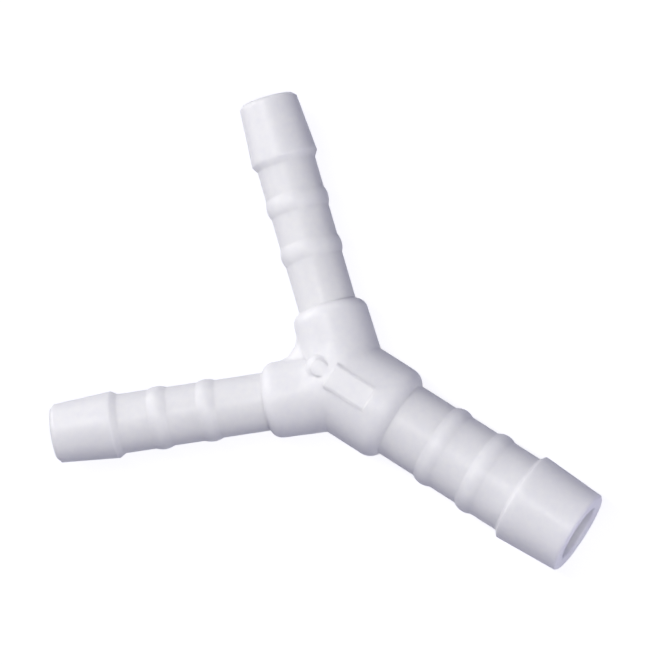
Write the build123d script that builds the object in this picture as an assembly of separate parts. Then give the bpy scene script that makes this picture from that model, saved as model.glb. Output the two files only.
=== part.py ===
from build123d import *
from dataclasses import dataclass
import math
import os

# Reducing Y connector for flexible tubing, moulded in one piece. Millimetres.
# The stem tail takes 8 mm tubing and each of the two branch tails takes 6 mm tubing.
# It is drawn with the three axes in the plane Z = 0 and meeting at the origin, the stem along -Y,
# and is moved at the end so that the middle of its lowest level is at the origin.

# Layout
BRANCH_ANGLE = 81.5  # degrees between the two branch axes

# Stem tail, lengths counted along its axis from the meeting of the axes outwards
STEM_BORE_DIA = 5.6
STEM_COLLAR_DIA = 9.9
STEM_COLLAR_LENGTH = 4.33  # from the meeting of the axes to the start of the rounded shoulder
STEM_COLLAR_DRAFT = 0.0  # degrees
STEM_SHOULDER_RADIUS = 1.65
STEM_NECK_DIA = 7.96
STEM_NECK_STEP = 0.19  # growth of the neck's diameter at each bead
STEM_NECK_LENGTH = 4.18  # from the shoulder to the first bead
STEM_BEAD_RISE = 0.34  # height of a bead's crest over the neck before it
STEM_NOSE_DIA = 9.42
STEM_NOSE_STEP = 0.44  # length of the slope at the back of the nose
STEM_NOSE_LENGTH = 6.8
STEM_TIP_DIA = 8.72
STEM_TIP_EDGE = 0.18  # chamfer round the tip

# Branch tails
BRANCH_BORE_DIA = 4.0
BRANCH_COLLAR_DIA = 7.94  # at the meeting of the axes
BRANCH_COLLAR_LENGTH = 7.43
BRANCH_COLLAR_DRAFT = 1.1  # degrees
BRANCH_SHOULDER_RADIUS = 1.3
BRANCH_NECK_DIA = 5.85
BRANCH_NECK_STEP = 0.07
BRANCH_NECK_LENGTH = 4.88
BRANCH_BEAD_RISE = 0.23
BRANCH_NOSE_DIA = 6.76
BRANCH_NOSE_STEP = 0.66
BRANCH_NOSE_LENGTH = 6.23
BRANCH_TIP_DIA = 5.86
BRANCH_TIP_EDGE = 0.35

# Retaining beads, the same on all three tails
BEAD_LENGTH = 1.9
BEAD_CREST = 1.1  # from the start of a bead to its crest
BEAD_GAP = 3.1  # plain neck from one bead to the next, and from the last one to the nose
MOUTH_CHAMFER = 0.15  # inner edge of each bore's mouth

# Hub
HUB_HEIGHT = 4.9  # half height of the branches' roots at the meeting of the axes
ROOT_LENGTH = 5.4  # how far out along a branch its raised root reaches
ROOT_EASE = 0.78  # share of the root's extra height that is left a third of the way along it
WEB_LENGTH = 4.7  # from the meeting of the axes to the web's front
WEB_SPREAD = 46.0  # degrees between the sides of the web
WEB_HEIGHT = 4.6  # half height at the meeting of the axes
WEB_FRONT_HEIGHT = 4.0  # half height at the front
WEB_CORNER_RADIUS = 1.3  # upright corners of the front
WEB_EDGE_RADIUS = 0.8  # rounding over the front and the sides
CROTCH_RADIUS = 2.4  # rounding between the two branches
CROTCH_EDGE_RADIUS = 1.6  # rounding over the thickness of the crotch

# Marking panel along the stem axis on top of the hub, left bare
PANEL_WIDTH = 2.9
PANEL_BACK = 2.9  # from the meeting of the axes towards the stem
PANEL_FRONT = 1.8  # from the meeting of the axes towards the branches
PANEL_RISE = 0.06  # the panel's rim over the chord that its width cuts from the stem collar
PANEL_RIM = 0.22  # width of the rim along each side
PANEL_RECESS = 0.08  # depth of the panel's face below its rim
PANEL_FOOT = 1.0  # depth of the panel's block under its rim

# Gate mark between the branches
GATE_DIA = 1.8
GATE_DISTANCE = 3.2  # from the meeting of the axes towards the branches
GATE_HEIGHT = 4.35  # its top over the plane of the axes


@dataclass(frozen=True)
class Tail:
    """Sizes of one hose tail."""

    bore_dia: float
    collar_dia: float
    collar_length: float
    collar_draft: float
    shoulder_radius: float
    neck_dia: float
    neck_step: float
    neck_length: float
    bead_rise: float
    nose_dia: float
    nose_step: float
    nose_length: float
    tip_dia: float
    tip_edge: float

    def collar_radius(self, distance):
        """Radius of the drafted collar at a distance along the axis."""
        return self.collar_dia / 2 - distance * math.tan(math.radians(self.collar_draft))

    def neck_start(self):
        """Distance at which the rounded shoulder comes down to the neck."""
        rise = self.neck_dia / 2 - (self.collar_radius(self.collar_length) - self.shoulder_radius)
        return self.collar_length + math.sqrt(self.shoulder_radius**2 - rise**2)

    def bead_start(self, number):
        """Distance of the start of bead 0 or 1, or of the nose's slope for 2."""
        return self.neck_start() + self.neck_length + number * (BEAD_LENGTH + BEAD_GAP)

    def heel(self):
        """Distance of the nose's widest ring, at the top of its slope."""
        return self.bead_start(2) + self.nose_step

    def tip(self):
        """Distance of the end face."""
        return self.heel() + self.nose_length


STEM = Tail(
    STEM_BORE_DIA,
    STEM_COLLAR_DIA,
    STEM_COLLAR_LENGTH,
    STEM_COLLAR_DRAFT,
    STEM_SHOULDER_RADIUS,
    STEM_NECK_DIA,
    STEM_NECK_STEP,
    STEM_NECK_LENGTH,
    STEM_BEAD_RISE,
    STEM_NOSE_DIA,
    STEM_NOSE_STEP,
    STEM_NOSE_LENGTH,
    STEM_TIP_DIA,
    STEM_TIP_EDGE,
)
BRANCH = Tail(
    BRANCH_BORE_DIA,
    BRANCH_COLLAR_DIA,
    BRANCH_COLLAR_LENGTH,
    BRANCH_COLLAR_DRAFT,
    BRANCH_SHOULDER_RADIUS,
    BRANCH_NECK_DIA,
    BRANCH_NECK_STEP,
    BRANCH_NECK_LENGTH,
    BRANCH_BEAD_RISE,
    BRANCH_NOSE_DIA,
    BRANCH_NOSE_STEP,
    BRANCH_NOSE_LENGTH,
    BRANCH_TIP_DIA,
    BRANCH_TIP_EDGE,
)

STEM_TURN = Rot(0, 0, -90)
BRANCH_TURNS = [Rot(0, 0, 90 - BRANCH_ANGLE / 2), Rot(0, 0, 90 + BRANCH_ANGLE / 2)]


def shoulder_edge(tail):
    """Rounded shoulder from the collar down to the neck."""
    centre_radius = tail.collar_radius(tail.collar_length) - tail.shoulder_radius
    sweep = math.asin((tail.neck_dia / 2 - centre_radius) / tail.shoulder_radius)
    middle = (sweep + math.pi / 2) / 2
    return ThreePointArc(
        (tail.collar_length, tail.collar_radius(tail.collar_length)),
        (
            tail.collar_length + tail.shoulder_radius * math.cos(middle),
            centre_radius + tail.shoulder_radius * math.sin(middle),
        ),
        (tail.neck_start(), tail.neck_dia / 2),
    )


def bead_edge(tail, number):
    """Rounded bead, which ends on a slightly wider neck than it starts from."""
    start = tail.bead_start(number)
    radius = (tail.neck_dia + number * tail.neck_step) / 2
    return ThreePointArc(
        (start, radius),
        (start + BEAD_CREST, radius + tail.bead_rise),
        (start + BEAD_LENGTH, radius + tail.neck_step / 2),
    )


def tail_section(tail, start_edge):
    """Half section of one tail: X runs outwards along its axis and Y is the radius."""
    shoulder, first, second = shoulder_edge(tail), bead_edge(tail, 0), bead_edge(tail, 1)
    nose = Polyline(
        second @ 1,
        (tail.bead_start(2), tail.neck_dia / 2 + tail.neck_step),
        (tail.heel(), tail.nose_dia / 2),
        (tail.tip(), tail.tip_dia / 2),
        (tail.tip(), 0),
        start_edge @ 0,
    )
    plain = [
        Line(start_edge @ 1, shoulder @ 0),
        Line(shoulder @ 1, first @ 0),
        Line(first @ 1, second @ 0),
    ]
    section = make_face([start_edge, shoulder, first, second, *plain, *nose.edges()])
    corner = section.vertices().sort_by_distance((tail.tip(), tail.tip_dia / 2))[0]
    return chamfer(corner, tail.tip_edge)


def ball_edge(radius):
    """Quarter circle about the meeting of the axes, from the axis up to a radius."""
    slant = radius * math.sqrt(0.5)
    return ThreePointArc((-radius, 0), (-slant, slant), (0, radius))


def stem_body():
    """Solid stem tail with a ball end at the meeting of the axes."""
    return revolve(tail_section(STEM, ball_edge(STEM.collar_dia / 2)), Axis.X)


def branch_body():
    """Solid branch tail from the end of its raised root outwards."""
    end_face = Line((ROOT_LENGTH, 0), (ROOT_LENGTH, BRANCH.collar_radius(ROOT_LENGTH)))
    return revolve(tail_section(BRANCH, end_face), Axis.X)


def branch_root():
    """Root of a branch: as tall as the stem's collar at the hub, easing down to the round collar."""
    round_radius = BRANCH.collar_radius(ROOT_LENGTH)
    sections = []
    for share, extra in ((0, 1), (1 / 3, ROOT_EASE), (2 / 3, 1 - ROOT_EASE), (1, 0)):
        distance = share * ROOT_LENGTH
        height = round_radius + extra * (HUB_HEIGHT - round_radius)
        sections.append(Plane.YZ.offset(distance) * Ellipse(BRANCH.collar_radius(distance), height))
    return loft(sections)


def hub_web():
    """Web that fills the valley between the roots, with a blunt rounded front towards the crotch."""
    across = WEB_LENGTH * math.tan(math.radians(WEB_SPREAD / 2))
    outline = make_face(Polyline((0, 0), (across, WEB_LENGTH), (-across, WEB_LENGTH), close=True))
    outline = fillet(outline.vertices().group_by(Axis.Y)[-1], WEB_CORNER_RADIUS)
    plan = extrude(outline, WEB_HEIGHT, both=True)
    side = Polyline((0, 0), (0, WEB_HEIGHT), (WEB_LENGTH, WEB_FRONT_HEIGHT), (WEB_LENGTH, 0), close=True)
    wedge = extrude(Plane.YZ * make_face(side), across, both=True)
    web = plan & (wedge + mirror(wedge, Plane.XY))
    rims = web.edges().filter_by(lambda edge: edge.center().Y > 0 and abs(edge.center().Z) > WEB_EDGE_RADIUS)
    return fillet(rims, WEB_EDGE_RADIUS)


def crotch_edge():
    """Rounded edge between the two branches, bent to the crotch radius."""
    lean = math.radians(BRANCH_ANGLE / 2 + BRANCH.collar_draft)
    reach = BRANCH.collar_dia / 2 * math.cos(math.radians(BRANCH.collar_draft)) + CROTCH_RADIUS
    spread = 90 - math.degrees(lean)
    ring = CROTCH_RADIUS + CROTCH_EDGE_RADIUS
    path = CenterArc((0, reach / math.sin(lean)), ring, 270 - spread, 2 * spread)
    return sweep(Plane(path @ 0, z_dir=path % 0) * Circle(CROTCH_EDGE_RADIUS), path)


def panel_block(width, depth, drop):
    """Block along the stem axis whose top lies a drop below the marking panel's rim."""
    chord = math.sqrt((STEM.collar_dia / 2) ** 2 - (PANEL_WIDTH / 2) ** 2)
    top = chord + PANEL_RISE - drop
    middle = (PANEL_FRONT - PANEL_BACK) / 2
    return Pos(0, middle, top - depth / 2) * Box(width, PANEL_FRONT + PANEL_BACK, depth)


def outer_form():
    """Hub and three tails as one solid."""
    form = STEM_TURN * stem_body()
    branch = branch_body() + branch_root()
    for turn in BRANCH_TURNS:
        form += turn * branch
    return form + hub_web() + crotch_edge()


def marked(form):
    """The form with its marking panel, bare between two slim rims, and its gate mark."""
    form += panel_block(PANEL_WIDTH, PANEL_FOOT, 0)
    form -= panel_block(PANEL_WIDTH, PANEL_FOOT, -PANEL_FOOT)
    form -= panel_block(PANEL_WIDTH - 2 * PANEL_RIM, PANEL_RECESS, 0)
    return form + Pos(0, GATE_DISTANCE, GATE_HEIGHT / 2) * Cylinder(GATE_DIA / 2, GATE_HEIGHT)


def bore(tail, inner_edge):
    """Bore of one tail from the meeting of the axes to its chamfered mouth."""
    radius = tail.bore_dia / 2
    mouth = Polyline(
        inner_edge @ 1,
        (tail.tip() - MOUTH_CHAMFER, radius),
        (tail.tip(), radius + MOUTH_CHAMFER),
        (tail.tip(), 0),
        inner_edge @ 0,
    )
    return revolve(make_face([inner_edge, *mouth.edges()]), Axis.X)


def connector():
    """The whole fitting, resting on Z = 0 with the middle of its outline at the origin."""
    form = marked(outer_form()) - STEM_TURN * bore(STEM, ball_edge(STEM.bore_dia / 2))
    for turn in BRANCH_TURNS:
        form -= turn * bore(BRANCH, Line((0, 0), (0, BRANCH.bore_dia / 2)))
    box = form.bounding_box()
    return Pos(0, -box.center().Y, -box.min.Z) * form


os.makedirs("parts", exist_ok=True)
export_step(connector(), "parts/y_connector.step")
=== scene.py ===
"""Reducing Y connector for flexible tubing, moulded in natural polypropylene, on a plain pale floor."""

import logging
import math
from dataclasses import dataclass, field
from enum import Enum

import bpy
import numpy as np
from mathutils import Matrix, Vector

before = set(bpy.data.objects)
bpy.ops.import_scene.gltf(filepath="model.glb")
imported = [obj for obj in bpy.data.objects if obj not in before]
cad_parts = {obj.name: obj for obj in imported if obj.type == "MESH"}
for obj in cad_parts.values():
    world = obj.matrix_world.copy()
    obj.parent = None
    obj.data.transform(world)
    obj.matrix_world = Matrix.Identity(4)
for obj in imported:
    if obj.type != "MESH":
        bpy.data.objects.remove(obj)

LOG = logging.getLogger("y_connector_scene")
MM = 0.001
WHITE = (1.0, 1.0, 1.0, 1.0)

Link = tuple[bpy.types.Node, str]
Setting = float | int | str | bool | tuple[float, ...] | Link


class Side(Enum):
    """Which way a lamp stands from the object, as seen from above the marking panel."""

    CROTCH = (0.0, 1.0)
    STEM = (0.0, -1.0)


def srgb(code: str) -> tuple[float, float, float, float]:
    """Turn an sRGB hex colour into linear values.

    The curve is the sRGB standard's own: a straight line for the darkest values, and a power
    of 2.4 with a small offset above them.

    Args:
        code: Six hex digits, red then green then blue.

    Returns:
        Linear red, green and blue with an alpha of one.
    """
    shares = np.array([int(code[i : i + 2], 16) / 255 for i in (0, 2, 4)])
    linear = np.where(shares <= 0.04045, shares / 12.92, ((shares + 0.055) / 1.055) ** 2.4)
    return (float(linear[0]), float(linear[1]), float(linear[2]), 1.0)


def add_node(tree: bpy.types.NodeTree, kind: str, **settings: Setting) -> bpy.types.Node:
    """Add one node with its properties, socket values and incoming links.

    Args:
        tree: Node tree that takes the node.
        kind: Blender's name for the node type.
        **settings: Property or socket names with underscores for spaces. A number at the
            end, as in Value_1, picks a socket by place. A pair of node and socket name links.

    Returns:
        The new node.
    """
    node = tree.nodes.new(kind)
    for name, value in settings.items():
        if hasattr(node, name) and not isinstance(value, tuple):
            setattr(node, name, value)
            continue
        socket = find_socket(node, name)
        if isinstance(value, tuple) and isinstance(value[0], bpy.types.Node):
            source, output = value
            tree.links.new(source.outputs[output], socket)
        else:
            socket.default_value = value
    return node


def find_socket(node: bpy.types.Node, name: str) -> bpy.types.NodeSocket:
    """Find an input socket by its name or, for a name such as Value_1, by its place.

    Args:
        node: Node to search.
        name: Socket name with underscores for spaces.

    Returns:
        The socket.
    """
    head, _, tail = name.rpartition("_")
    if head and tail.isdigit():
        return node.inputs[int(tail)]
    return node.inputs[name.replace("_", " ")]


@dataclass(frozen=True)
class NaturalPolypropylene:
    """Natural polypropylene, injection moulded in a lightly eroded tool.

    Unpigmented polypropylene is milky: light goes a millimetre or two into it and comes out
    again, so thin walls glow and thick ones look deeper. The tool leaves a satin skin with
    faint, soft orange peel. The skin's real grain, typically near 0.05 mm, is too fine to show and is
    drawn about three times as coarse.
    """

    base: str = "F2F2F1"
    depth: str = "E9E9EE"
    cloud_mm: float = 0.7
    cloud_detail: float = 2.0
    cloud_contrast: float = 0.5
    peel_mm: float = 0.9
    peel_detail: float = 1.0
    peel_height_mm: float = 0.03
    peel_strength: float = 0.3
    grain_mm: float = 0.16
    grain_detail: float = 2.0
    grain_height_mm: float = 0.008
    grain_strength: float = 0.5
    roughness: float = 0.45
    roughness_spread: float = 0.05
    ior: float = 1.49
    gloss: float = 0.25
    coat: float = 0.2
    coat_roughness: float = 0.25
    ease_mm: float = 0.35
    ease_samples: int = 16
    scatter: float = 1.0
    scatter_mm: float = 1.3
    scatter_shares: tuple[float, float, float] = (1.0, 1.0, 1.0)

    def build(self, name: str) -> bpy.types.Material:
        """Build the node material.

        Args:
            name: Name of the new material.

        Returns:
            The material, which reads Object coordinates only.
        """
        material = bpy.data.materials.new(name)
        material.use_nodes = True
        tree = material.node_tree
        tree.nodes.clear()
        place = add_node(tree, "ShaderNodeTexCoord")
        cloud = add_node(
            tree,
            "ShaderNodeTexNoise",
            Vector=(place, "Object"),
            Scale=1 / (self.cloud_mm * MM),
            Detail=self.cloud_detail,
            Roughness=self.cloud_contrast,
        )
        tint = add_node(
            tree,
            "ShaderNodeMix",
            data_type="RGBA",
            Factor_0=(cloud, "Fac"),
            Factor_6=srgb(self.base),
            Factor_7=srgb(self.depth),
        )
        peel = add_node(
            tree,
            "ShaderNodeTexNoise",
            Vector=(place, "Object"),
            Scale=1 / (self.peel_mm * MM),
            Detail=self.peel_detail,
        )
        grain = add_node(
            tree,
            "ShaderNodeTexNoise",
            Vector=(place, "Object"),
            Scale=1 / (self.grain_mm * MM),
            Detail=self.grain_detail,
        )
        eased = add_node(
            tree,
            "ShaderNodeBevel",
            samples=self.ease_samples,
            Radius=self.ease_mm * MM,
        )
        soft = add_node(
            tree,
            "ShaderNodeBump",
            Strength=self.peel_strength,
            Distance=self.peel_height_mm * MM,
            Height=(peel, "Fac"),
            Normal=(eased, "Normal"),
        )
        fine = add_node(
            tree,
            "ShaderNodeBump",
            Strength=self.grain_strength,
            Distance=self.grain_height_mm * MM,
            Height=(grain, "Fac"),
            Normal=(soft, "Normal"),
        )
        satin = add_node(
            tree,
            "ShaderNodeMapRange",
            Value=(peel, "Fac"),
            To_Min=self.roughness - self.roughness_spread,
            To_Max=self.roughness + self.roughness_spread,
        )
        skin = add_node(
            tree,
            "ShaderNodeBsdfPrincipled",
            Base_Color=(tint, "Result"),
            Roughness=(satin, "Result"),
            Normal=(fine, "Normal"),
            IOR=self.ior,
            Specular_IOR_Level=self.gloss,
            Coat_Weight=self.coat,
            Coat_Roughness=self.coat_roughness,
            Coat_Normal=(fine, "Normal"),
            Subsurface_Weight=self.scatter,
            Subsurface_Radius=self.scatter_shares,
            Subsurface_Scale=self.scatter_mm * MM,
        )
        add_node(tree, "ShaderNodeOutputMaterial", Surface=(skin, "BSDF"))
        return material


@dataclass
class Connector:
    """The moulded fitting: its CAD node keeps its shape and gets its finish here."""

    node: str = "y_connector"
    finish: NaturalPolypropylene = field(default_factory=NaturalPolypropylene)

    def build(self) -> bpy.types.Object:
        """Dress the node with its finish.

        Returns:
            The node's object.
        """
        body = bpy.data.objects[self.node]
        material = self.finish.build("moulded_natural_polypropylene")
        for slot in body.material_slots:
            slot.material = material
        if not body.material_slots:
            body.data.materials.append(material)
        return body


@dataclass(frozen=True)
class SoftLamp:
    """Flat soft lamp that faces the object.

    Its lean is in degrees from straight overhead, its distance and its size across the stem
    and along it are in metres, and its power is in watts.
    """

    name: str
    side: Side
    lean: float
    away: float
    size: tuple[float, float]
    power: float
    tone: str = "FFFEF9"

    def hang(self) -> bpy.types.Object:
        """Hang the lamp.

        Returns:
            The lamp's object.
        """
        light = bpy.data.lights.new(self.name, "AREA")
        light.shape = "RECTANGLE"
        light.size, light.size_y = self.size
        light.energy = self.power
        light.color = srgb(self.tone)[:3]
        lamp = bpy.data.objects.new(self.name, light)
        bpy.context.scene.collection.objects.link(lamp)
        angle = math.radians(self.lean)
        across, along = self.side.value
        aim = Vector((across * math.sin(angle), along * math.sin(angle), math.cos(angle)))
        lamp.location = aim * self.away
        lamp.rotation_euler = aim.to_track_quat("Z", "Y").to_euler()
        return lamp


@dataclass
class Studio:
    """Plain pale floor, soft lamps and a surround that shows white and lights dimly."""

    floor_half: float = 1.5
    floor_tone: str = "7A7A90"
    floor_glow: float = 0.88
    surround: float = 0.105
    surround_tone: str = "8A88FF"
    lamps: tuple[SoftLamp, ...] = (
        SoftLamp("strip_softbox", Side.CROTCH, lean=0, away=0.35, size=(0.04, 1.3), power=2.35),
        SoftLamp("crotch_card", Side.CROTCH, lean=84.5, away=0.5, size=(0.5, 0.1), power=1.4),
        SoftLamp(
            "mouth_card",
            Side.STEM,
            lean=85,
            away=0.06,
            size=(0.03, 0.008),
            power=0.003,
            tone="DAD6FF",
        ),
    )

    @staticmethod
    def seen_ray(tree: bpy.types.NodeTree) -> bpy.types.Node:
        """Tell rays that show the background from rays that light the object.

        Args:
            tree: Node tree that takes the nodes.

        Returns:
            A node whose Value is 1 for camera, glossy and transmission rays and 0 for others.
        """
        path = add_node(tree, "ShaderNodeLightPath")
        either = add_node(
            tree,
            "ShaderNodeMath",
            operation="MAXIMUM",
            Value_0=(path, "Is Camera Ray"),
            Value_1=(path, "Is Glossy Ray"),
        )
        return add_node(
            tree,
            "ShaderNodeMath",
            operation="MAXIMUM",
            Value_0=(either, "Value"),
            Value_1=(path, "Is Transmission Ray"),
        )

    def floor(self) -> bpy.types.Object:
        """Lay a level square floor at the object's foot.

        Returns:
            The floor.
        """
        corners = np.array([[-1, -1, 0], [1, -1, 0], [1, 1, 0], [-1, 1, 0]], dtype=float)
        mesh = bpy.data.meshes.new("studio_floor")
        mesh.from_pydata((corners * self.floor_half).tolist(), [], [(0, 1, 2, 3)])
        floor = bpy.data.objects.new("studio_floor", mesh)
        bpy.context.scene.collection.objects.link(floor)
        mesh.materials.append(self.floor_paint())
        return floor

    def floor_paint(self) -> bpy.types.Material:
        """Matt pale paint that the camera sees as white where no shadow falls.

        Returns:
            The floor's material.
        """
        material = bpy.data.materials.new("pale_studio_paint")
        material.use_nodes = True
        tree = material.node_tree
        tree.nodes.clear()
        seen_ray = self.seen_ray(tree)
        paint = add_node(tree, "ShaderNodeBsdfDiffuse", Color=srgb(self.floor_tone))
        glow = add_node(tree, "ShaderNodeEmission", Color=WHITE, Strength=self.floor_glow)
        seen = add_node(
            tree,
            "ShaderNodeAddShader",
            Shader_0=(paint, "BSDF"),
            Shader_1=(glow, "Emission"),
        )
        both = add_node(
            tree,
            "ShaderNodeMixShader",
            Fac=(seen_ray, "Value"),
            Shader_1=(paint, "BSDF"),
            Shader_2=(seen, "Shader"),
        )
        add_node(tree, "ShaderNodeOutputMaterial", Surface=(both, "Shader"))
        return material

    def surround_light(self) -> None:
        """Light the scene evenly, with a white surround for the camera and for reflections."""
        world = bpy.data.worlds.new("studio_surround")
        bpy.context.scene.world = world
        world.use_nodes = True
        tree = world.node_tree
        tree.nodes.clear()
        seen_ray = self.seen_ray(tree)
        dim = add_node(
            tree,
            "ShaderNodeBackground",
            Color=srgb(self.surround_tone),
            Strength=self.surround,
        )
        white = add_node(tree, "ShaderNodeBackground", Color=WHITE, Strength=1.0)
        pick = add_node(
            tree,
            "ShaderNodeMixShader",
            Fac=(seen_ray, "Value"),
            Shader_1=(dim, "Background"),
            Shader_2=(white, "Background"),
        )
        add_node(tree, "ShaderNodeOutputWorld", Surface=(pick, "Shader"))

    def build(self) -> None:
        """Set up the floor, the surround and the lamps."""
        self.floor()
        self.surround_light()
        for lamp in self.lamps:
            lamp.hang()


@dataclass
class ViewCamera:
    """Camera above the marking panel, leaning towards the stem, far off with a long lens.

    The hub's place is in millimetres, angles are in degrees and the distance is in metres.
    """

    hub: tuple[float, float, float] = (0.0, 1.2553, 4.95)
    lean: float = 10.3
    turn: float = 147.5
    pixel_mm: float = 0.1
    frame_px: int = 665
    hub_px: tuple[float, float] = (351.8, 388.6)
    away: float = 1.2
    reach: float = 10.0
    sensor_mm: float = 36.0

    def build(self) -> bpy.types.Object:
        """Place the camera so that the hub lands on its place in the frame.

        Returns:
            The camera's object.
        """
        lean, turn = math.radians(self.lean), math.radians(self.turn)
        back = Vector((0.0, -math.sin(lean), math.cos(lean)))
        across = Vector((1.0, 0.0, 0.0))
        along = Vector((0.0, math.cos(lean), math.sin(lean)))
        right = across * math.sin(turn) + along * math.cos(turn)
        up = along * math.sin(turn) - across * math.cos(turn)
        offset = [px - self.frame_px / 2 for px in self.hub_px]
        shift = (right * -offset[0] + up * offset[1]) * self.pixel_mm
        aim = (Vector(self.hub) + shift) * MM
        data = bpy.data.cameras.new("view_camera")
        data.sensor_width = self.sensor_mm
        data.lens = self.sensor_mm * self.away / (self.frame_px * self.pixel_mm * MM)
        data.clip_end = self.reach
        camera = bpy.data.objects.new("view_camera", data)
        bpy.context.scene.collection.objects.link(camera)
        turned = Matrix((right, up, back)).transposed().to_4x4()
        camera.matrix_world = Matrix.Translation(aim + back * self.away) @ turned
        bpy.context.scene.camera = camera
        return camera


def main() -> None:
    """Build the scene in order and report each piece."""
    logging.basicConfig(level=logging.INFO, format="%(name)s: %(message)s")
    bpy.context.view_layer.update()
    body = Connector().build()
    LOG.info("dressed %s", body.name)
    ViewCamera().build()
    LOG.info("camera placed")
    Studio().build()
    LOG.info("studio lit")
    bpy.context.scene.view_settings.view_transform = "Standard"


if __name__ == "__main__":
    main()
